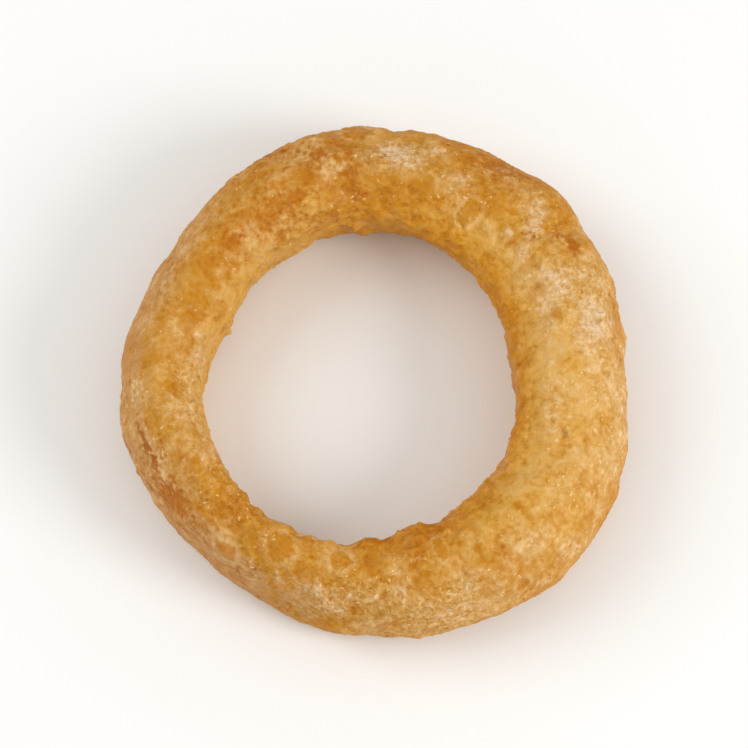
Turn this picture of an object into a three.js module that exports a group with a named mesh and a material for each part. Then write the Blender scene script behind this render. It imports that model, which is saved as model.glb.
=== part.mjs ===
// One battered onion ring, lying flat: a band of fried batter that closes on itself
// round an open hole. Millimetres, +Z up. The origin is on the surface that the ring
// lies on, under its middle.
//
// Two angles name a place on the ring. "round" goes round the hole, counter-clockwise
// seen from above, with 0 at +X. "turn" goes round the band's own section: 0 faces away
// from the hole, 90 is on top, 180 faces the hole and 270 is underneath.

import * as THREE from "three";
import { ImprovedNoise } from "three/addons/math/ImprovedNoise.js";

const { degToRad, euclideanModulo, seededRandom, smoothstep } = THREE.MathUtils;

// Driving dimensions, in millimetres and degrees.
const centreRadius = 25.4; // middle of the hole to the middle of the band
const wallThickness = 10.7; // onion and batter together, crust to crust
const bandHeight = 14.4; // how thick the onion was sliced, with its batter
const layerRadius = 32; // the onion layer's own curve, which bows the band outwards
const cornerPower = 2.5; // 2 makes the section an ellipse, and more squares it
const restDepth = 0.6; // how far the lowest parts of the underside are pressed flat

// How the ring departs from a true circle: waves that go round it, each with its
// number of peaks, the height of a peak and the angle of the first one.
const planWaves = [
  { peaks: 1, rise: 0.65, at: 324 },
  { peaks: 2, rise: 0.85, at: 88 },
  { peaks: 3, rise: 0.45, at: 77 },
  { peaks: 5, rise: 0.3, at: 38 },
];
const thicknessWaves = [
  { peaks: 1, rise: 2.9, at: 50 },
  { peaks: 2, rise: 0.9, at: 162 },
  { peaks: 3, rise: 0.7, at: 63 },
  { peaks: 4, rise: 0.55, at: 26 },
];
const heightWaves = [
  { peaks: 1, rise: 0.6, at: 20 },
  { peaks: 3, rise: 0.5, at: 100 },
];
const liftWaves = [{ peaks: 5, rise: 0.12, at: 12 }]; // of the underside
const leanMean = 15; // how far the top of the band leans in over the hole
const leanWaves = [{ peaks: 1, rise: 15, at: 345 }];

// The mesh: steps round the hole, and steps round the section.
const roundSteps = 128;
const turnSteps = 44;

const noise = new ImprovedNoise();
const fullTurn = 360;

// The sum of a list of waves at one angle round the ring.
function waves(list, round) {
  let sum = 0;
  for (const wave of list) {
    sum += wave.rise * Math.cos(wave.peaks * degToRad(round - wave.at));
  }
  return sum;
}

// The shorter way from one angle to another, between -180 and 180.
function angleBetween(from, to) {
  const half = fullTurn / 2;
  return euclideanModulo(to - from + half, fullTurn) - half;
}

// A sine or cosine pushed towards the corners of a rounded rectangle.
function squared(value) {
  return Math.sign(value) * Math.abs(value) ** (2 / cornerPower);
}

// How far the leaning section reaches below its own middle.
function drop(halfThickness, halfHeight, lean) {
  const power = cornerPower / (cornerPower - 1);
  const fromHeight = (halfHeight * Math.cos(lean)) ** power;
  const fromThickness = (halfThickness * Math.sin(lean)) ** power;
  return (fromHeight + fromThickness) ** (1 / power);
}

// The smooth band, before its batter is made uneven.
function smoothPoint(round, turn) {
  const halfThickness = (wallThickness + waves(thicknessWaves, round)) / 2;
  const halfHeight = (bandHeight + waves(heightWaves, round)) / 2;
  const lean = degToRad(leanMean + waves(leanWaves, round));
  const up = halfHeight * squared(Math.sin(degToRad(turn)));
  const bow = layerRadius - Math.sqrt(layerRadius ** 2 - up ** 2);
  const out = halfThickness * squared(Math.cos(degToRad(turn))) - bow;
  const reach = centreRadius + waves(planWaves, round)
    + out * Math.cos(lean) - up * Math.sin(lean);
  const height = drop(halfThickness, halfHeight, lean) + waves(liftWaves, round)
    + out * Math.sin(lean) + up * Math.cos(lean);
  const angle = degToRad(round);
  return new THREE.Vector3(reach * Math.cos(angle), reach * Math.sin(angle), height);
}

// Which way the smooth band faces at a place.
function smoothNormal(round, turn) {
  const step = 0.5;
  const along = smoothPoint(round + step, turn).sub(smoothPoint(round - step, turn));
  const across = smoothPoint(round, turn + step).sub(smoothPoint(round, turn - step));
  return along.cross(across).normalize();
}

// Lumpy batter: noise of a few grain sizes, the coarse ones deepest. Each is read from
// a place of its own, so that the sizes don't line up with each other.
const lumps = [
  { size: 9, rise: 0.45, from: 190 },
  { size: 4.5, rise: 0.35, from: 145 },
  { size: 2.4, rise: 0.3, from: 124 },
];

function lumpiness(point) {
  let sum = 0;
  for (const { size, rise, from } of lumps) {
    const { x, y, z } = point.clone().divideScalar(size);
    sum += rise * noise.noise(x + from, y + from, z);
  }
  return sum;
}

// The crest: the narrow rim that the batter draws along the top of the band, sharp on
// one side of the ring and lost in the round on the other.
const crest = { from: 50, to: 265, fade: 25, turn: 84, width: 17, rise: 0.8 };

function crestRise(round, turn) {
  const start = smoothstep(round, crest.from, crest.from + crest.fade);
  const end = 1 - smoothstep(round, crest.to - crest.fade, crest.to);
  const off = angleBetween(crest.turn, turn) / crest.width;
  return crest.rise * start * end * Math.exp(-off * off);
}

// Creases: short furrows where the batter folded, each running across the band.
const creases = [
  { round: 38, turn: 48, length: 60, skew: 0.13, width: 1.2, depth: 0.8 },
  { round: 96, turn: 110, length: 50, skew: -0.1, width: 1.2, depth: 0.5 },
  { round: 214, turn: 30, length: 60, skew: 0.12, width: 1.2, depth: 0.5 },
];

function creaseDepth(round, turn) {
  let sum = 0;
  for (const crease of creases) {
    const up = angleBetween(crease.turn, turn);
    const side = angleBetween(crease.round + crease.skew * up, round);
    const away = degToRad(side) * centreRadius / crease.width;
    const fade = 2 * up / crease.length;
    sum += crease.depth * Math.exp(-away * away - fade ** 4);
  }
  return sum;
}

// Blisters are low domes of batter, and a dent is one that goes inwards. The large ones
// have a place of their own and the rest are scattered by a seeded draw.
const blisters = [
  { round: 232, turn: 20, radius: 2.3, rise: 0.7 },
  { round: 240, turn: 25, radius: 2.1, rise: 0.6 },
  { round: 244, turn: 118, radius: 1.9, rise: 0.6 },
  { round: 258, turn: 112, radius: 1.7, rise: 0.5 },
  { round: 267, turn: 108, radius: 1.6, rise: 0.5 },
  { round: 45, turn: 8, radius: 5.5, rise: 1.0 },
  { round: 46, turn: 22, radius: 2.4, rise: 1.3 },
  { round: 31, turn: 18, radius: 2.2, rise: 0.7 },
  { round: 285, turn: 128, radius: 4, rise: 1.1 },
  { round: 270, turn: 122, radius: 3, rise: 0.7 },
  { round: 92, turn: 200, radius: 2, rise: 0.8 },
  { round: 132, turn: 195, radius: 7, rise: -0.8 },
  { round: 253, turn: 340, radius: 5, rise: -0.5 },
];
const scatter = { count: 150, seed: 7, radius: [1.1, 2.3], rise: [0.2, 0.5] };

function between([low, high]) {
  return low + (high - low) * seededRandom();
}

seededRandom(scatter.seed);
for (let i = 0; i < scatter.count; i++) {
  blisters.push({
    round: between([0, fullTurn]),
    turn: between([0, fullTurn]),
    radius: between(scatter.radius),
    rise: between(scatter.rise),
  });
}
for (const blister of blisters) {
  blister.centre = smoothPoint(blister.round, blister.turn);
}

function blisterRise(point) {
  let highest = 0;
  let deepest = 0;
  for (const blister of blisters) {
    const away = Math.min(1, point.distanceTo(blister.centre) / blister.radius);
    const rise = blister.rise * (1 - away * away) ** 2;
    highest = Math.max(highest, rise);
    deepest = Math.min(deepest, rise);
  }
  return highest + deepest;
}

// The finished surface: the smooth band pushed out or in along its own normal.
function surfacePoint(round, turn) {
  const point = smoothPoint(round, turn);
  const rise = lumpiness(point) + crestRise(round, turn)
    + blisterRise(point) - creaseDepth(round, turn);
  return point.addScaledVector(smoothNormal(round, turn), rise);
}

// Lowers the ring until its lowest parts are pressed flat, over the origin.
function setDown(points) {
  const box = new THREE.Box3().setFromPoints(points);
  const middle = box.getCenter(new THREE.Vector3());
  for (const point of points) {
    point.x -= middle.x;
    point.y -= middle.y;
    point.z = Math.max(0, point.z - box.min.z - restDepth);
  }
}

// Joins a grid of points that closes on itself both ways, each four-sided field split
// along its shorter diagonal.
function closedGrid(points) {
  const index = [];
  const at = (i, j) => (i % roundSteps) * turnSteps + (j % turnSteps);
  for (let i = 0; i < roundSteps; i++) {
    for (let j = 0; j < turnSteps; j++) {
      const [a, b, c, d] = [at(i, j), at(i + 1, j), at(i + 1, j + 1), at(i, j + 1)];
      if (points[a].distanceTo(points[c]) < points[b].distanceTo(points[d])) {
        index.push(a, b, c, a, c, d);
      } else {
        index.push(a, b, d, b, c, d);
      }
    }
  }
  const geometry = new THREE.BufferGeometry().setFromPoints(points);
  geometry.setIndex(index);
  geometry.computeVertexNormals();
  return geometry;
}

function onionRing() {
  const points = [];
  for (let i = 0; i < roundSteps; i++) {
    for (let j = 0; j < turnSteps; j++) {
      points.push(surfacePoint(i * fullTurn / roundSteps, j * fullTurn / turnSteps));
    }
  }
  setDown(points);
  const friedBatter = new THREE.MeshStandardMaterial({
    color: 0xcb944b,
    roughness: 0.55,
    metalness: 0,
  });
  const ring = new THREE.Mesh(closedGrid(points), friedBatter);
  ring.name = "onion_ring";
  return ring;
}

const group = new THREE.Group();
group.add(onionRing());

export default group;
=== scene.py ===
import math

import bpy
import numpy as np
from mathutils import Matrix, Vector


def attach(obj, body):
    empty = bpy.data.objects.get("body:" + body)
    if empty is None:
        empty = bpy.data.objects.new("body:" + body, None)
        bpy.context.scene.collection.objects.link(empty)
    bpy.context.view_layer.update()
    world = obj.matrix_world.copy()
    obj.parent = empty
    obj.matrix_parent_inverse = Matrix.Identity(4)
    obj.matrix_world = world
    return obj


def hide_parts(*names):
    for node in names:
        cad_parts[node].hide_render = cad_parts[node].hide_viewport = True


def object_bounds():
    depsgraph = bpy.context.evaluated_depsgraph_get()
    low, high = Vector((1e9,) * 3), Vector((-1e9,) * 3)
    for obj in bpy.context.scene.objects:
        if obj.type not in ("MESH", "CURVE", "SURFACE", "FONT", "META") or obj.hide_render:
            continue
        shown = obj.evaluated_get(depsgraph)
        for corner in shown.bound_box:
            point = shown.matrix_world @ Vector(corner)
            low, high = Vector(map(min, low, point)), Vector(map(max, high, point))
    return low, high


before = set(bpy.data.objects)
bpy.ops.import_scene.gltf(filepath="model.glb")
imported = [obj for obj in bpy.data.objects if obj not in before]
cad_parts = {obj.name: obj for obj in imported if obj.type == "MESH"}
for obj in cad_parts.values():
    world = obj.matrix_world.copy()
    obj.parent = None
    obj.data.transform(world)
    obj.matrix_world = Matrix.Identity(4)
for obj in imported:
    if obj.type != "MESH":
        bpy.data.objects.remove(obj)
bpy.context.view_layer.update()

mm = 0.001  # everything is in metres, and small sizes are written in millimetres
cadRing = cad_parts["onion_ring"]
print("frame loaded")


# helpers for node trees

def addNode(tree, kind, settings=None, inputs=None):
    node = tree.nodes.new(kind)
    for name, value in (settings or {}).items():
        setattr(node, name, value)
    for name, value in (inputs or {}).items():
        if isinstance(value, bpy.types.NodeSocket):
            tree.links.new(value, node.inputs[name])
        else:
            node.inputs[name].default_value = value
    return node


def calc(tree, operation, first, second=0.0, third=0.0):  # one Math node
    inputs = {0: first, 1: second, 2: third}
    return addNode(tree, "ShaderNodeMath", {"operation": operation}, inputs).outputs[0]


def calcVector(tree, operation, inputs, output=0):  # one Vector Math node
    return addNode(tree, "ShaderNodeVectorMath", {"operation": operation}, inputs).outputs[output]


def total(tree, *parts):  # each part is a value and how much of it is added
    answer = 0.0
    for value, amount in parts:
        answer = calc(tree, "MULTIPLY_ADD", value, amount, answer)
    return answer


def product(tree, first, *others):
    for other in others:
        first = calc(tree, "MULTIPLY", first, other)
    return first


def highest(tree, first, *others):
    for other in others:
        first = calc(tree, "MAXIMUM", first, other)
    return first


def ramp(tree, value, low, high, toLow=0.0, toHigh=1.0):  # a soft step from low to high
    inputs = {"Value": value, "From Min": low, "From Max": high, "To Min": toLow, "To Max": toHigh}
    settings = {"interpolation_type": "SMOOTHSTEP"}
    return addNode(tree, "ShaderNodeMapRange", settings, inputs).outputs["Result"]


def shifted(tree, place, shift):
    # the same place in another part of a pattern, so that two uses of it don't line up
    return calcVector(tree, "ADD", {0: place, 1: (37.0 * shift, 11.0 * shift, 23.0 * shift)})


def bent(tree, place, amount, scale=0.6, detail=2.0):
    # places pushed about by up to amount mm, so that round cells come out uneven: scale is how often in
    # a millimetre that changes
    inputs = {"Vector": place, "Scale": scale, "Detail": detail}
    wobble = addNode(tree, "ShaderNodeTexNoise", None, inputs).outputs[1]
    return calcVector(tree, "MULTIPLY_ADD", {0: wobble, 1: (amount,) * 3, 2: place})


def noise(tree, place, size, detail=2.0, roughness=0.5, shift=0.0):
    # uneven lumps of about size mm, as high above zero as below it
    inputs = {"Vector": shifted(tree, place, shift), "Scale": 1 / size,
              "Detail": detail, "Roughness": roughness}
    return calc(tree, "SUBTRACT", addNode(tree, "ShaderNodeTexNoise", None, inputs).outputs[0], 0.5)


def wrinkles(tree, place, size, width, shift=0.0):  # thin winding lines about size mm apart
    return ramp(tree, calc(tree, "ABSOLUTE", noise(tree, place, size, 3.0, 0.6, shift)), width, 0.0)


def cells(tree, place, size, share, shift=0.0):
    # round cells of about size mm: how far a point is from its cell's middle, whether the cell counts,
    # and a number of the cell's own
    inputs = {"Vector": shifted(tree, place, shift), "Scale": 1 / size}
    node = addNode(tree, "ShaderNodeTexVoronoi", {"feature": "F1"}, inputs)
    drawn = addNode(tree, "ShaderNodeSeparateXYZ", None, {0: node.outputs["Color"]}).outputs
    least = calc(tree, "SUBTRACT", 1.0, share)
    present = ramp(tree, calc(tree, "SUBTRACT", drawn[0], least), -0.04, 0.04)
    return node.outputs["Distance"], present, drawn[1]


def lace(tree, place, size, width, shift=0.0):  # the thin walls between bubbles of about size mm
    inputs = {"Vector": shifted(tree, place, shift), "Scale": 1 / size}
    node = addNode(tree, "ShaderNodeTexVoronoi", {"feature": "DISTANCE_TO_EDGE"}, inputs)
    return ramp(tree, node.outputs["Distance"], width, 0.0)


def mixColour(tree, amount, first, second):
    settings = {"data_type": "RGBA", "blend_type": "MIX"}
    return addNode(tree, "ShaderNodeMix", settings, {0: amount, 6: first, 7: second}).outputs[2]


# The batter's shape: a copy of the CAD ring, made fine and given its blisters and grain.
#
# Two angles name a place on it, as in the CAD. The first goes round the hole, counter-clockwise
# from +X. The second goes round the band: 0 faces away from the hole, 90 is on top, 180 faces the
# hole. Then come a mark's size along the band and across it, in millimetres, and its amount.

batter = {
    "weldDistance": 0.01 * mm,
    "roundings": 2,  # subdivision levels, which leave a step of about 0.3 mm
    # millimetres
    "sink": 0.1,  # the whole skin is set back, so that its lumps fill the solid
    "bend": 2.2,  # how far the round lumps are pushed out of true
    "bubbleSize": 1.35, "crumbSize": 0.95, "pitSize": 2.1, "knobSize": 3.2, "grainSize": 1.0,
    "gritSize": 4.5, "wrinkleSize": 2.4, "wrinklePatchSize": 5.0,
    "ruffleSize": 1.5,  # the ragged edge over the hole
    "rises": {  # how far each stands out of the skin
        "wrinkle": 0.16, "knob": 0.4, "bulge": 0.1, "pocketRim": 0.05, "blisterRim": 0.05, "bubble": 0.13,
        "crumb": 0.15, "pit": -0.15, "ruffle": 0.95, "grain": 0.27, "swell": 1.0,
    },
    # the share of cells that hold one
    "bubbleShare": 0.3, "crumbShare": 0.5, "pitShare": 0.12,
}

# smooth pockets of oil: a share of their cells holds one, more over the hole and fewer in chalky crust
pockets = {"size": 3.4, "bend": 2.4, "share": 0.26, "moreOverHole": 0.25, "fewerInChalk": 0.5}

# blisters, each a rounded oval with a pale rim: the amount is a rise in millimetres
blisters = [
    (58, 116, 2.8, 3.8, 0.2), (94, 54, 4.8, 3.4, 0.15), (214, 95, 2.4, 3, 0.15), (233, 55, 3.6, 2.8, 0.3),
    (239, 30, 3, 2.2, 0.3), (245, 96, 4.1, 3.6, 0.3), (251, 113, 2.2, 2, 0.2), (261, 104, 3.2, 2.8, 0.25),
    (288, 103, 1.5, 3.6, 0.15), (303, 24, 2.2, 2.6, -0.25),
]

# softer marks, each list in order round the ring
marks = {
    "swell": [  # raised or sunken places: the amount is a rise in millimetres
        (30, 63, 2, 2, -0.25), (34, 70, 0.9, 2.6, -0.25), (37, 80, 0.9, 2.6, -0.15),
        (40, 78, 4, 2.6, 0.25), (44, 108, 1.1, 1, 0.4), (97, 189, 1.6, 2.6, 0.8),
        (112, 52, 0.9, 0.9, -0.5), (134, 143, 0.9, 3.4, 0.25), (160, 200, 1.2, 2, 0.7),
        (229, 121, 1, 1.2, 0.35), (235, 118, 1.2, 1, 0.3), (246, 117, 1.2, 1, 0.35),
        (251, 122, 1, 1, 0.35), (258, 121, 1.2, 1, 0.35), (278, 135, 0.6, 0.8, 0.6),
        (285, 136, 0.9, 1.2, 0.3), (292, 120, 0.8, 1, 0.4), (296, 121, 0.7, 0.9, 0.4),
        (300, 122, 0.7, 0.9, 0.4), (302, 136, 1.2, 1.4, 0.4), (303, 20, 2, 2.4, -0.25),
        (330, 88, 1, 2.8, -0.3), (334, 92, 0.9, 2.2, -0.25), (336, 96, 0.9, 1, -0.6),
    ],
    "honeyed": [  # smooth and honey gold, where the oil shows through
        (4, 152, 16, 5, 0.9), (12, 122, 3, 2.4, 0.5), (75, 128, 3, 2, 0.5), (88, 140, 8, 4, 0.3),
        (139, 119, 2, 2, 0.6), (163, 101, 1.6, 2.6, 0.7), (205, 112, 2.6, 2.4, 0.7),
        (214, 95, 3, 3.4, 0.6), (269, 103, 1.6, 3.2, 1.2), (275, 132, 14, 4, 0.4), (276, 113, 2, 2, 0.7),
        (280, 116, 1.6, 4, 0.5), (296, 113, 3.4, 2.4, 0.5), (302, 134, 12, 4, 0.4),
        (307, 95, 3.4, 3, 0.4), (318, 144, 9, 5, 0.8), (332, 118, 3.4, 2.4, 0.4), (350, 154, 14, 5, 0.9),
    ],
    "paintedLight": [  # painted light: brighter yellow where the batter is lit, and where light shows through the thin edge
        (18, 110, 24, 10, 0.3), (42, 120, 16, 6, 0.3), (60, 138, 12, 6, 0.3), (98, 164, 10, 4, 0.4),
        (112, 118, 5, 3, 0.4), (114, 136, 4, 3, 0.4), (129, 142, 4, 3, 0.4), (139, 124, 3.4, 3, 0.2),
        (190, 124, 22, 9, 0.4), (305, 96, 16, 7, 0.25), (317, 44, 9, 5, 0.35), (330, 130, 24, 5, 0.4),
        (345, 100, 40, 12, 0.35), (348, 60, 34, 12, 0.3),
    ],
    "grainy": [  # clusters of glistening grains, whose glints are partly painted as pale specks
        (28, 100, 4, 2.4, 0.6), (36, 107, 2, 2, 0.8), (44, 107, 1.6, 1.4, 0.7), (66, 110, 4, 3, 0.7),
        (98, 130, 4, 3, 0.8), (215, 104, 6, 4, 1), (230, 112, 4, 2.4, 0.8), (242, 98, 3, 3.4, 1.2),
        (277, 96, 3, 3, 0.8),
    ],
    "coarse": [  # coarser grain than elsewhere, or finer where the amount is below zero
        (14, 72, 10, 7, 0.5), (38, 84, 8, 6, 0.3), (83, 87, 8, 6, 0.4), (165, 80, 26, 16, -0.2),
        (213, 48, 12, 6, -0.4), (250, 40, 34, 20, 0.5), (262, 112, 14, 5, 0.4), (280, 85, 14, 8, 0.2),
        (340, 88, 52, 24, -0.55),
    ],
    "chalk": [  # pale, crusty and rough, or clearer where the amount is below zero
        (0, 146, 18, 6, -0.35), (5, 74, 4, 3.4, 0.45), (9, 55, 8.5, 6, 0.25), (10, 70, 22, 13, 0.08),
        (10, 65, 4.6, 3.4, 0.65), (16, 110, 6, 3, 0.25), (20, 113, 9, 3.4, 0.3), (22, 90, 5, 4.4, 0.8),
        (36, 108, 1.6, 1.8, 0.5), (38, 97, 1.6, 2, 0.5), (40, 88, 1.8, 2.4, 0.7), (42, 77, 2, 2.4, 0.7),
        (44, 66, 2, 2.2, 0.5), (44, 108, 1.2, 1.2, 1.5), (55, 60, 5, 3, 0.3), (66, 94, 5, 3, 0.7),
        (73, 71, 3.4, 2.6, 0.4), (84, 87, 6, 4.2, 1.3), (85, 122, 16, 5, -0.3), (101, 101, 5, 2.6, 0.45),
        (107, 72, 6, 4, 0.25), (150, 66, 12, 5, 0.25), (160, 60, 10, 7, 0.2), (180, 128, 10, 8, 0.5),
        (188, 65, 3.8, 2.6, 0.5), (200, 118, 9, 7, 0.4), (200, 10, 14, 7, 0.3), (208, 70, 6, 2.6, 0.5),
        (222, 84, 6, 2, 0.35), (236, 111, 3, 3, 0.3), (246, 62, 5, 2.2, 0.3), (262, 60, 8, 5, 0.5),
        (275, 92, 2.6, 1.6, 0.5), (276, 70, 2.6, 2.4, 0.6), (280, 28, 12, 10, 0.15),
        (282, 80, 8, 6, -0.15), (285, 20, 26, 12, 0.28), (285, 0, 26, 8, 0.15), (292, 60, 5, 4, 0.3),
        (300, 114, 9, 4, -0.2), (309, 63, 4, 2.6, 0.35), (315, 20, 4, 3, 0.3), (322, 140, 12, 5, -0.25),
        (340, 75, 40, 15, 0.18), (342, 110, 9, 3.4, 0.5), (352, 4, 30, 6, 0.15), (355, 25, 40, 13, 0.3),
    ],
    "amber": [  # fried darker
        (29.5, 62, 2.6, 2.2, 0.75), (34, 69, 1.1, 2.2, 0.55), (36, 76, 1, 2.4, 0.5),
        (37, 58, 1.6, 1.6, 0.3), (38, 83, 1, 2, 0.3), (40, 156, 20, 4, 0.25), (40, 113, 3, 1.4, 0.4),
        (58, 40, 14, 7, 0.3), (60, 66, 10, 6, 0.35), (80, 138, 10, 8, 0.15), (96, 118, 2.4, 6, 0.35),
        (101, 96, 7, 8, 0.25), (106, 82, 10, 9, 0.3), (120, 40, 18, 8, 0.3), (120, 112, 4.6, 2.4, 0.1),
        (121, 130, 9, 5, 0.4), (128, 106, 12, 7, 0.28), (140, 110, 8, 5, 0.25), (140, 99, 2, 1.6, 0.35),
        (200, 60, 5.6, 1.4, 0.6), (206, 55, 2.4, 1.2, 0.4), (213, 43, 14, 10, 0.4),
        (217, 50, 6, 3.6, 0.45), (230, 98, 4, 4.4, 0.5), (262, 106, 1.8, 2.2, 0.3),
        (269, 103, 1.5, 2.8, 0.4), (270, 132, 10, 3, 0.4), (281, 105, 3.2, 3.6, 0.5),
        (288, 125, 6, 4, 0.4), (302, 72, 1.6, 5, 0.45), (345, 153, 34, 5, 0.55),
    ],
    "brown": [  # brown streaks and spots
        (26, 110, 1.6, 1.2, 0.3), (50, 80, 3.6, 2, 0.25), (112, 52, 0.8, 0.8, 0.8),
        (200, 60, 5.6, 1.3, 1), (206, 55, 2.4, 1.1, 0.6), (211, 56, 2.4, 1.4, 0.4), (217, 46, 6, 2, 0.2),
        (225, 36, 7, 3, 0.3), (229, 106, 2, 2, 0.4), (237, 8, 1.6, 2.2, 0.4), (272, 60, 1.4, 1.2, 0.5),
        (292, 71, 1, 1.4, 0.5), (336, 96, 1, 1.2, 0.7),
    ],
}

# wide zones, each with its middle, half its width and how softly it ends, in degrees round the hole and
# round the band: dry, dull and a little pink away from the hole, and painted light on the walls over it
zones = {
    "dull": {"around": 195, "halfAround": 56, "fade": 36, "turn": 0, "halfTurn": 68, "edge": 16},
    # painted glow on the inner wall at the right, which faces away from the key light
    "paintedGlow": {"around": 20, "halfAround": 85, "fade": 60, "turn": 200, "halfTurn": 66, "edge": 36},
    # painted light on the inner wall at the left, which faces the key light
    "paintedLeftLight": {"around": 158, "halfAround": 52, "fade": 36, "turn": 200, "halfTurn": 74, "edge": 24},
}


def shortWay(angles):  # the same angles between -180 and 180
    return (angles + 180) % 360 - 180


def bandPlaces(points):
    # each point's two angles and its distances from the ring's axis and from the band's middle
    step = 5  # degrees between the sections whose middles are found
    around = np.degrees(np.arctan2(points[:, 1], points[:, 0])) % 360
    reach = np.hypot(points[:, 0], points[:, 1])
    height = points[:, 2]
    stops = np.arange(0, 360, step)
    middles = []
    for stop in stops:
        near = np.abs(shortWay(around - stop)) < step / 2
        middles.append([(values[near].min() + values[near].max()) / 2 for values in (reach, height)])
    middleReach, middleHeight = np.array(middles).T
    out = reach - np.interp(around, stops, middleReach, period=360)
    up = height - np.interp(around, stops, middleHeight, period=360)
    turn = np.degrees(np.arctan2(up, out))
    return {"around": around, "turn": turn, "reach": reach, "depth": np.hypot(out, up)}


def distances(places, mark):  # 0 in the mark's middle and 1 at its edge
    around, turn, along, across, _ = mark
    onward = np.radians(shortWay(places["around"] - around)) * places["reach"]
    sideways = np.radians(shortWay(places["turn"] - turn)) * places["depth"]
    return np.hypot(onward / (along / 2), sideways / (across / 2))


def cover(places, spots):  # the spots' amounts, fading out from their middles
    return sum(spot[-1] * np.exp(-distances(places, spot) ** 2) for spot in spots)


def domes(places, spots):  # the same, as rounded domes
    return sum(spot[-1] * np.clip(1 - distances(places, spot) ** 2, 0, 1) ** 1.5 for spot in spots)


def zone(places, settings):
    onward = np.abs(shortWay(places["around"] - settings["around"]))
    sideways = np.abs(shortWay(places["turn"] - settings["turn"]))
    return (np.clip((settings["halfAround"] - onward) / settings["fade"] + 0.5, 0, 1)
            * np.clip((settings["halfTurn"] - sideways) / settings["edge"] + 0.5, 0, 1))


def paintMarks(ring):  # stores every mark and zone on the ring's points
    points = np.empty(len(ring.data.vertices) * 3)
    ring.data.vertices.foreach_get("co", points)
    places = bandPlaces(points.reshape(-1, 3) / mm)
    layers = {name: cover(places, spots) for name, spots in marks.items()}
    layers.update({name: zone(places, settings) for name, settings in zones.items()})
    layers["swell"] += domes(places, blisters)
    layers["coarse"] += 1
    layers["blister"] = np.min([distances(places, blister) for blister in blisters], axis=0)
    for name, values in layers.items():
        ring.data.attributes.new(name, "FLOAT", "POINT").data.foreach_set("value", values)


def selectOnly(thing):
    bpy.ops.object.select_all(action="DESELECT")
    thing.select_set(True)
    bpy.context.view_layer.objects.active = thing


def applyModifier(thing, kind, **settings):
    selectOnly(thing)
    bpy.ops.object.modifier_add(type=kind)
    modifier = thing.modifiers[-1]
    for name, value in settings.items():
        setattr(modifier, name, value)
    bpy.ops.object.modifier_apply(modifier=modifier.name)


def painted(tree, name):  # a layer that paintMarks stored
    node = addNode(tree, "GeometryNodeInputNamedAttribute", {"data_type": "FLOAT"}, {"Name": name})
    return node.outputs["Attribute"]


def facingOut(tree, position, normal):  # 1 where the batter faces away from the hole and -1 over it
    flat = calcVector(tree, "MULTIPLY", {0: position, 1: (1, 1, 0)})
    outward = calcVector(tree, "NORMALIZE", {0: flat})
    return calcVector(tree, "DOT_PRODUCT", {0: normal, 1: outward}, 1)


def honeyPockets(tree, place, facing, chalk):
    # how deep in a pocket a point is, the pocket's rim, and its bulge
    uneven = bent(tree, place, pockets["bend"], detail=3.0)
    share = total(tree, (ramp(tree, facing, 0.35, -0.35), pockets["moreOverHole"]), (pockets["share"], 1.0),
                  (chalk, -pockets["fewerInChalk"]))
    distance, present, number = cells(tree, uneven, pockets["size"], share, 1.0)
    inside = product(tree, ramp(tree, distance, 0.52, 0.30), present)
    rim = product(tree, ramp(tree, distance, 0.38, 0.50), ramp(tree, distance, 0.62, 0.53), present)
    bulge = product(tree, ramp(tree, distance, 0.5, 0.1), present, ramp(tree, number, 0.3, 0.7, -0.8, 1.0))
    return inside, rim, bulge


def blisterMasks(tree, distance):  # the same for the blisters that have places of their own
    inside = ramp(tree, distance, 1.1, 0.3)
    rim = product(tree, ramp(tree, distance, 0.72, 1.0), ramp(tree, distance, 1.4, 1.05))
    return inside, rim


def batterShapes(tree, place, facing):
    # the crust's fine shapes: masks from 0 to 1, and lumps as high above zero as below it
    chalk, coarse = painted(tree, "chalk"), painted(tree, "coarse")
    uneven = bent(tree, place, batter["bend"])
    shapes = {"swell": painted(tree, "swell")}
    shapes["pocket"], shapes["pocketRim"], shapes["bulge"] = honeyPockets(tree, place, facing, chalk)
    blister, shapes["blisterRim"] = blisterMasks(tree, painted(tree, "blister"))
    window = highest(tree, shapes["pocket"], blister, painted(tree, "honeyed"))

    # lumps on the crust, which are fewer and lower where it is smooth
    distance, present, number = cells(tree, uneven, batter["bubbleSize"], batter["bubbleShare"], 2.0)
    shapes["bubble"] = product(tree, ramp(tree, distance, 0.5, 0.1), present,
                               ramp(tree, number, 0.2, 0.8, 0.4, 1.0))
    dry = total(tree, (chalk, 1.0), (noise(tree, place, batter["gritSize"], shift=9.0), 1.2))
    shapes["grit"] = product(tree, ramp(tree, dry, 0.0, 0.5), ramp(tree, window, 0.6, 0.2))
    distance, present, _ = cells(tree, place, batter["crumbSize"], batter["crumbShare"], 3.0)
    shapes["crumb"] = product(tree, ramp(tree, distance, 0.5, 0.1), present,
                              highest(tree, shapes["grit"], painted(tree, "grainy")), coarse)
    distance, present, _ = cells(tree, uneven, batter["pitSize"], batter["pitShare"], 4.0)
    shapes["pit"] = product(tree, ramp(tree, distance, 0.19, 0.08), present, ramp(tree, window, 0.5, 0.2))
    shapes["grain"] = product(tree, noise(tree, place, batter["grainSize"], 0.0, 0.5, 6.0),
                              ramp(tree, window, 0.2, 0.7, 1.0, 0.25), coarse)

    # larger forms
    shapes["knob"] = noise(tree, place, batter["knobSize"])
    shapes["ruffle"] = product(tree, noise(tree, place, batter["ruffleSize"], 2.0, 0.55, 5.0),
                               ramp(tree, facing, 0.0, -0.6))
    wrinklePatch = noise(tree, place, batter["wrinklePatchSize"], 1.0, 0.5, 13.0)
    shapes["wrinkle"] = product(tree, wrinkles(tree, uneven, batter["wrinkleSize"], 0.07, 12.0),
                                ramp(tree, wrinklePatch, -0.12, 0.1))
    return shapes


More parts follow.
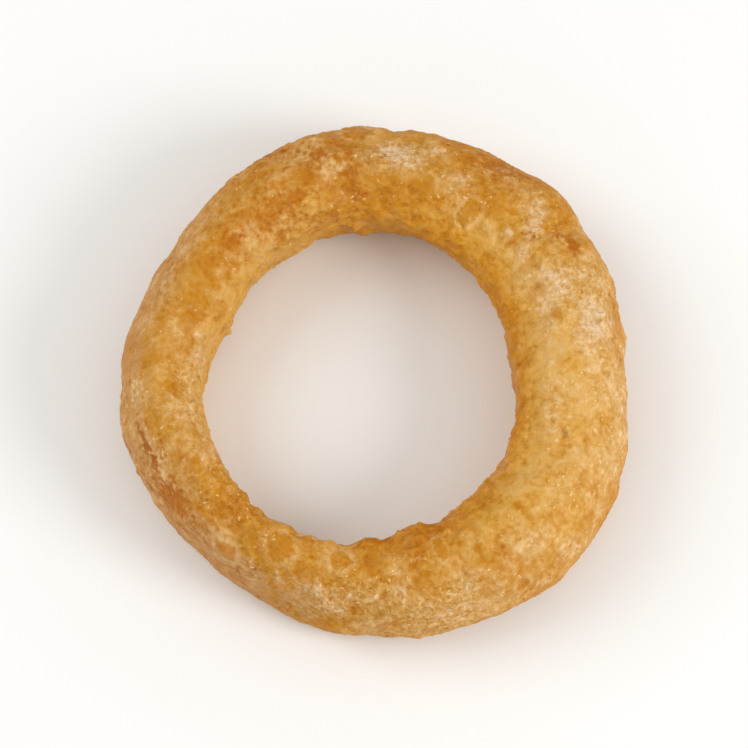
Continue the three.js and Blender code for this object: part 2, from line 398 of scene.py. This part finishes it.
def reliefTree():
    tree = bpy.data.node_groups.new("batterRelief", "GeometryNodeTree")
    tree.interface.new_socket("Geometry", in_out="INPUT", socket_type="NodeSocketGeometry")
    tree.interface.new_socket("Geometry", in_out="OUTPUT", socket_type="NodeSocketGeometry")
    geometry = addNode(tree, "NodeGroupInput").outputs[0]
    end = addNode(tree, "NodeGroupOutput")
    position = addNode(tree, "GeometryNodeInputPosition").outputs[0]
    normal = addNode(tree, "GeometryNodeInputNormal").outputs[0]
    place = calcVector(tree, "SCALE", {0: position, "Scale": 1 / mm})
    shapes = batterShapes(tree, place, facingOut(tree, position, normal))
    rises = [(shapes[name], rise) for name, rise in batter["rises"].items()]
    shapes["relief"] = total(tree, (1.0, -batter["sink"]), *rises)

    # the finish reads these
    for name in ("relief", "grit", "crumb", "pit", "wrinkle", "pocket", "pocketRim"):
        settings = {"data_type": "FLOAT", "domain": "POINT"}
        inputs = {"Geometry": geometry, "Name": name, "Value": shapes[name]}
        geometry = addNode(tree, "GeometryNodeStoreNamedAttribute", settings, inputs).outputs[0]
    offset = calcVector(tree, "SCALE", {0: normal, "Scale": product(tree, shapes["relief"], mm)})
    inputs = {"Geometry": geometry, "Offset": offset}
    geometry = addNode(tree, "GeometryNodeSetPosition", None, inputs).outputs[0]

    # nothing reaches below the surface that the ring lies on
    parts = addNode(tree, "ShaderNodeSeparateXYZ", None, {0: position}).outputs
    inputs = {0: parts[0], 1: parts[1], 2: highest(tree, parts[2], 0.0)}
    settled = addNode(tree, "ShaderNodeCombineXYZ", None, inputs).outputs[0]
    inputs = {"Geometry": geometry, "Position": settled}
    geometry = addNode(tree, "GeometryNodeSetPosition", None, inputs).outputs[0]
    tree.links.new(geometry, end.inputs[0])
    return tree


def makeBatter():
    ring = bpy.data.objects.new("ring_batter", cadRing.data.copy())
    bpy.context.scene.collection.objects.link(ring)
    selectOnly(ring)
    bpy.ops.object.mode_set(mode="EDIT")
    bpy.ops.mesh.select_all(action="SELECT")
    bpy.ops.mesh.remove_doubles(threshold=batter["weldDistance"])
    bpy.ops.mesh.tris_convert_to_quads(face_threshold=math.pi, shape_threshold=math.pi)
    bpy.ops.object.mode_set(mode="OBJECT")
    levels = batter["roundings"]
    applyModifier(ring, "SUBSURF", levels=levels, render_levels=levels)
    paintMarks(ring)
    applyModifier(ring, "NODES", node_group=reliefTree())
    selectOnly(ring)
    bpy.ops.object.shade_smooth()
    return ring


# the fried finish: golden batter with chalky crust, honey pockets, pale crumbs and oil, with painted light
# and shade in it

finish = {
    # two of these colours are painted light, a bright yellow for lit places and a warm glow for the inner
    # wall in shade; the crumb colour also paints glints
    "golden": (0.55, 0.234, 0.010, 1), "paintedLight": (0.70, 0.386, 0.066, 1), "honey": (0.51, 0.192, 0.003, 1),
    "paintedGlow": (0.77, 0.365, 0.026, 1), "amber": (0.455, 0.143, 0.002, 1), "dull": (0.53, 0.249, 0.062, 1),
    "brown": (0.37, 0.11, 0.007, 1), "film": (0.735, 0.455, 0.183, 1), "frost": (0.83, 0.60, 0.385, 1),
    "crumb": (0.92, 0.69, 0.36, 1),
    "shares": {  # how much of each shows, at most
        "dull": 1.0, "paintedLight": 0.9, "paintedGlow": 0.6, "honey": 0.8, "amber": 1.0, "brown": 0.75, "streak": 0.28,
        "pale": 0.92, "rim": 0.55, "frost": 0.65, "speckGlint": 0.65, "dot": 0.3, "hollow": 0.25,
    },
    # millimetres
    "patchSize": 4.5, "mottleSize": 1.5, "flakeSize": 0.65, "grainSize": 0.5,
    "wideFoam": 1.9, "fineFoam": 0.8, "foamBend": 1.1,
    "speckSize": 0.5, "dotSize": 0.95, "streakWidth": 0.7, "streakLength": 5.0,
    "brightness": 0.955, "richness": 1.02,  # of the whole colour, which the grain then changes
    "windowMottle": 0.22,  # how uneven the oil is
    "grainHeight": 0.38 * mm, "dryRoughness": 0.58, "oilyRoughness": 0.32, "specular": 0.16,
    "coat": {"weight": 0.22, "roughness": 0.12},  # oil
    "spread": {"weight": 0.45, "radius": (1.0, 0.5, 0.15), "scale": 1.0 * mm},  # of light in the batter
}

# Where each kind of crust lies: the values that are added up, each with its amount, and the sums at
# which the crust starts and is whole.
kinds = {
    "honeyed": ({"honeyed": 1.0, "mottle": 0.9, "flake": 0.6}, 0.3, 0.8),
    "dull": ({"dull": 1.0, "patches": 0.8, "mottle": 1.2, "flake": 0.5}, 0.2, 0.8),
    # painted light, brightest on the inner wall at the left that faces the key light
    "paintedLight": ({"paintedLight": 1.0, "paintedLeftLight": 0.75, "patches": 0.5, "mottle": 0.8, "flake": 0.5}, 0.1, 0.8),
    # painted glow on the inner wall in shade
    "paintedGlow": ({"paintedGlow": 1.0, "mottle": 0.8, "flake": 0.5}, 0.15, 0.85),
    "film": ({"chalk": 1.0, "patches": 1.5, "mottle": 0.9, "flake": 0.4, "relief": 0.3,
              "window": -0.3}, -0.2, 0.9),
    # amber gathers in the low places of the relief, partly as frying and partly as painted shade
    "amber": ({"amber": 1.0, "patches": -0.6, "mottle": -0.7, "flake": -0.7, "relief": -0.6,
               "hollow": 0.25, "foam": -0.2}, 0.0, 0.85),
    "brown": ({"brown": 1.0, "mottle": -1.0, "flake": -0.8, "pit": 0.2}, 0.2, 0.7),
}


def blend(tree, crust, amounts):  # named values added up, each by its own amount
    return total(tree, *[(crust[name], amount) for name, amount in amounts.items()])


def kindMask(tree, crust, kind):
    amounts, start, whole = kinds[kind]
    return ramp(tree, blend(tree, crust, amounts), start, whole)


def storedCrust(tree):  # what the marks and the relief left on the batter, by name
    crust = {"even": 1.0}  # the same all over
    for name in ("honeyed", "paintedLight", "grainy", "coarse", "chalk", "amber", "brown", "blister", "dull",
                 "paintedGlow", "paintedLeftLight", "relief", "grit", "crumb", "pit", "wrinkle", "pocket", "pocketRim"):
        node = addNode(tree, "ShaderNodeAttribute", {"attribute_name": name})
        crust[name] = node.outputs["Fac"]
    return crust


def addPatterns(tree, crust, place, uneven):
    # patterns too fine for the mesh, and foam that dried in the batter: thin pale walls round bubbles
    crust["patches"] = noise(tree, place, finish["patchSize"], shift=5.0)
    crust["mottle"] = noise(tree, place, finish["mottleSize"], shift=6.0)
    crust["flake"] = noise(tree, place, finish["flakeSize"], 1.0, shift=7.0)
    crust["grain"] = noise(tree, place, finish["grainSize"], 2.0, 0.6, 10.0)
    crust["rough"] = product(tree, blend(tree, crust, {"grit": 0.6, "even": 0.4}), crust["coarse"])
    crust["wideFoam"] = product(tree, lace(tree, uneven, finish["wideFoam"], 0.09, 15.0),
                                ramp(tree, crust["mottle"], -0.1, 0.15))
    distance, present, _ = cells(tree, uneven, finish["fineFoam"], 0.7, 16.0)
    crust["fineFoam"] = product(tree, ramp(tree, distance, 0.42, 0.75),
                                ramp(tree, crust["patches"], -0.2, 0.1, 0.5, 1.0))
    crust["foam"] = blend(tree, crust, {"wideFoam": 0.35, "fineFoam": 0.35})
    crust["hollow"] = product(tree, ramp(tree, distance, 0.32, 0.12), present, crust["coarse"])


def addWindows(tree, crust):
    # how clearly the oil shows through, in pockets, blisters and honeyed marks, and their pale rims
    distance = blend(tree, crust, {"blister": 1.0, "flake": 0.6, "mottle": 0.9})
    blister, blisterRim = blisterMasks(tree, distance)
    clouded = ramp(tree, blend(tree, crust, {"mottle": 1.0, "flake": 1.0}), -0.25, 0.25, 0.65, 1.0)
    crust["window"] = highest(tree, product(tree, crust["pocket"], 0.6), product(tree, blister, clouded),
                              kindMask(tree, crust, "honeyed"))
    broken = blend(tree, crust, {"patches": 1.0, "mottle": 0.8, "flake": 0.5})
    crust["rim"] = product(tree, highest(tree, product(tree, crust["pocketRim"], 0.3), blisterRim),
                           ramp(tree, broken, -0.15, 0.2, 0.4, 1.0))


def addSpecks(tree, crust, place, uneven):
    # pale specks in the crust, partly crumbs and partly painted glints, and a few dark dots beside them
    share = blend(tree, crust, {"grit": 0.35, "grainy": 0.7, "even": 0.1})
    distance, present, number = cells(tree, uneven, finish["speckSize"], share, 8.0)
    clear = highest(tree, ramp(tree, crust["window"], 0.0, 1.0, 1.0, 0.4), crust["grainy"])
    crust["speckGlint"] = product(tree, ramp(tree, distance, 0.42, 0.1), present,
                             ramp(tree, number, 0.0, 1.0, 0.2, 1.0), clear)
    share = blend(tree, crust, {"grit": 0.12, "even": 0.06})
    distance, present, _ = cells(tree, place, finish["dotSize"], share, 9.0)
    crust["dot"] = product(tree, ramp(tree, distance, 0.3, 0.12), present, crust["coarse"])


def streaks(tree, place):
    # long thin streaks that run round the ring, as a noise that changes slowly onward and fast across
    x, y, height = addNode(tree, "ShaderNodeSeparateXYZ", None, {0: place}).outputs
    reach = calc(tree, "SQRT", total(tree, (product(tree, x, x), 1.0), (product(tree, y, y), 1.0)))
    narrow, long = 1 / finish["streakWidth"], 1 / finish["streakLength"]
    onward = product(tree, total(tree, (x, 1.0), (y, 0.7)), long)
    inputs = {0: product(tree, reach, narrow), 1: product(tree, height, narrow), 2: onward}
    stretched = addNode(tree, "ShaderNodeCombineXYZ", None, inputs).outputs[0]
    return noise(tree, stretched, 1.0, 1.0, 0.5, 1.0)


def addPale(tree, crust, film, amber, paintedGlow):
    # dry batter in a thin film, with foam, crumbs and flakes, but less where it is oily or fried dark
    crust["film"] = film
    crust["foamyFilm"] = product(tree, film, crust["foam"])
    crust["flakyFilm"] = product(tree, crust["flake"], film)
    pale = blend(tree, crust, {"film": 0.66, "foamyFilm": 0.28, "foam": 0.17, "wrinkle": 0.08,
                               "crumb": 0.12, "flakyFilm": 0.25})
    crust["pale"] = product(tree, pale, ramp(tree, crust["window"], 0.0, 1.0, 1.0, 0.25),
                            ramp(tree, paintedGlow, 0.0, 1.0, 1.0, 0.45), ramp(tree, amber, 0.3, 0.9, 1.0, 0.1))


def crustColour(tree, crust, place):
    shares = finish["shares"]
    dull, paintedLight, paintedGlow, film, amber, brown = [
        kindMask(tree, crust, kind) for kind in ("dull", "paintedLight", "paintedGlow", "film", "amber", "brown")]
    addPale(tree, crust, film, amber, paintedGlow)
    lines = product(tree, ramp(tree, streaks(tree, place), 0.0, 0.25), dull, shares["streak"])
    frost = blend(tree, crust, {"pale": 0.5, "chalk": 0.4, "mottle": 0.7, "flake": 0.9})
    hollows = product(tree, crust["hollow"], film, shares["hollow"])
    coats = [  # one over the other
        ("dull", product(tree, dull, shares["dull"])),
        # painted light: bright yellow where the batter is lit, and a glow on the inner wall in shade
        ("paintedLight", product(tree, paintedLight, shares["paintedLight"])),
        ("paintedGlow", product(tree, paintedGlow, shares["paintedGlow"])),
        ("honey", product(tree, crust["window"], ramp(tree, paintedGlow, 0.0, 1.0, shares["honey"], 0.35))),
        ("amber", product(tree, amber, ramp(tree, paintedGlow, 0.0, 1.0, shares["amber"], 0.4))),
        ("brown", highest(tree, product(tree, brown, shares["brown"]), lines)),
        ("film", calc(tree, "MINIMUM", crust["pale"], shares["pale"])),
        ("film", product(tree, crust["rim"], shares["rim"])),
        ("frost", product(tree, ramp(tree, frost, 0.45, 1.1), shares["frost"])),
        # pale crumbs, partly painted glints
        ("crumb", product(tree, crust["speckGlint"], shares["speckGlint"])),
        ("amber", highest(tree, product(tree, crust["dot"], shares["dot"]), hollows)),
    ]
    colour = finish["golden"]
    for name, amount in coats:
        colour = mixColour(tree, amount, colour, finish[name])
    return colour


def shadeGrain(tree, crust, colour):
    # the hollows between the grains hold more oil and also get painted shade, so they are darker and deeper
    # in colour, and the grains' tops get painted light
    light = blend(tree, crust, {"grain": 0.25, "flake": 0.04, "fineFoam": 0.05, "speckGlint": 0.1})
    hollowShade = blend(tree, crust, {"grain": 0.18, "flake": 0.38, "fineFoam": 0.1, "hollow": -0.1})
    gamma = total(tree, (product(tree, hollowShade, crust["rough"]), -1.0), (1.0, finish["richness"]))
    colour = addNode(tree, "ShaderNodeGamma", None, {"Color": colour, "Gamma": gamma}).outputs[0]
    value = total(tree, (product(tree, light, crust["rough"]), 1.0),
                  (product(tree, crust["window"], crust["mottle"]), finish["windowMottle"]),
                  (1.0, finish["brightness"]))
    return calcVector(tree, "SCALE", {0: colour, "Scale": value})


def friedFinish():
    material = bpy.data.materials.new("friedBatter")
    material.use_nodes = True
    tree = material.node_tree
    coordinates = addNode(tree, "ShaderNodeTexCoord").outputs["Object"]
    inputs = {"Vector": coordinates, "Scale": (1 / mm,) * 3}
    place = addNode(tree, "ShaderNodeMapping", None, inputs).outputs[0]
    uneven = bent(tree, place, finish["foamBend"], 1.3, 1.0)
    crust = storedCrust(tree)
    addPatterns(tree, crust, place, uneven)
    addWindows(tree, crust)
    addSpecks(tree, crust, place, uneven)
    colour = shadeGrain(tree, crust, crustColour(tree, crust, place))

    height = blend(tree, crust, {"grain": 1.0, "flake": 0.35, "fineFoam": 0.3})
    height = product(tree, height, crust["rough"])
    inputs = {"Strength": 1.0, "Distance": finish["grainHeight"], "Height": height}
    bump = addNode(tree, "ShaderNodeBump", None, inputs).outputs[0]
    coat, spread = finish["coat"], finish["spread"]
    oil = blend(tree, crust, {"window": 0.4, "mottle": 1.0, "grainy": 0.5})
    shader = tree.nodes["Principled BSDF"]
    tree.links.new(colour, shader.inputs["Base Color"])
    tree.links.new(bump, shader.inputs["Normal"])
    tree.links.new(ramp(tree, crust["window"], 0.0, 1.0, finish["dryRoughness"], finish["oilyRoughness"]),
                   shader.inputs["Roughness"])
    tree.links.new(ramp(tree, oil, 0.0, 0.5, 0.0, coat["weight"]), shader.inputs["Coat Weight"])
    shader.inputs["Coat Roughness"].default_value = coat["roughness"]
    shader.inputs["Specular IOR Level"].default_value = finish["specular"]
    shader.subsurface_method = "BURLEY"
    shader.inputs["Subsurface Weight"].default_value = spread["weight"]
    shader.inputs["Subsurface Radius"].default_value = spread["radius"]
    shader.inputs["Subsurface Scale"].default_value = spread["scale"]
    return material


ringBatter = makeBatter()
ringBatter.data.materials.clear()
ringBatter.data.materials.append(friedFinish())
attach(ringBatter, "root")
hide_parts("onion_ring")
print("batter made:", len(ringBatter.data.polygons), "faces")


# the studio: a pale floor, soft light from all round, a key light at the right and a weaker one at the left

studio = {
    "floor": {"size": 3.0, "colour": (0.9, 0.9, 0.89, 1), "roughness": 0.9, "specular": 0.1},
    "sky": {"colour": (1.0, 0.985, 0.96, 1), "strength": 0.69},
    "key": {"place": (0.55, -0.22, 0.38), "size": 0.3, "power": 2.3},
    "rim": {"place": (-0.5, 0.1, 0.5), "size": 0.5, "power": 1.5},
    "camera": {"elevation": 70.0, "lens": 180.0, "fill": 0.68},  # fill: the ring's share of the width
}


def makeFloor():
    settings = studio["floor"]
    bpy.ops.object.select_all(action="DESELECT")
    bpy.ops.mesh.primitive_plane_add(size=settings["size"])
    floor = bpy.context.object
    floor.name = "floor"
    material = bpy.data.materials.new("floorPaper")
    material.use_nodes = True
    shader = material.node_tree.nodes["Principled BSDF"]
    shader.inputs["Base Color"].default_value = settings["colour"]
    shader.inputs["Roughness"].default_value = settings["roughness"]
    shader.inputs["Specular IOR Level"].default_value = settings["specular"]
    floor.data.materials.append(material)


def makeSky():
    world = bpy.data.worlds.new("studioSky")
    world.use_nodes = True
    background = world.node_tree.nodes["Background"]
    background.inputs["Color"].default_value = studio["sky"]["colour"]
    background.inputs["Strength"].default_value = studio["sky"]["strength"]
    bpy.context.scene.world = world


def aim(thing, target):
    thing.rotation_mode = "QUATERNION"
    thing.rotation_quaternion = (target - thing.location).to_track_quat("-Z", "Y")


def makeLight(name, target):
    settings = studio[name]
    bpy.ops.object.light_add(type="AREA", location=settings["place"])
    light = bpy.context.object
    light.name = name
    light.data.shape = "DISK"
    light.data.size = settings["size"]
    light.data.energy = settings["power"]
    aim(light, target)


def makeCamera(target, width):
    settings = studio["camera"]
    bpy.ops.object.camera_add()
    camera = bpy.context.object
    camera.data.lens = settings["lens"]
    distance = width / settings["fill"] * camera.data.lens / camera.data.sensor_width
    tilt = math.radians(settings["elevation"])
    camera.location = target + distance * Vector((0, -math.cos(tilt), math.sin(tilt)))
    camera.data.clip_start = distance / 100
    aim(camera, target)
    bpy.context.scene.camera = camera


low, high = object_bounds()
middle = (low + high) / 2
makeFloor()
makeSky()
makeLight("key", middle)
makeLight("rim", middle)
makeCamera(middle, high.x - low.x)
bpy.context.scene.view_settings.view_transform = "Standard"
print("studio made")
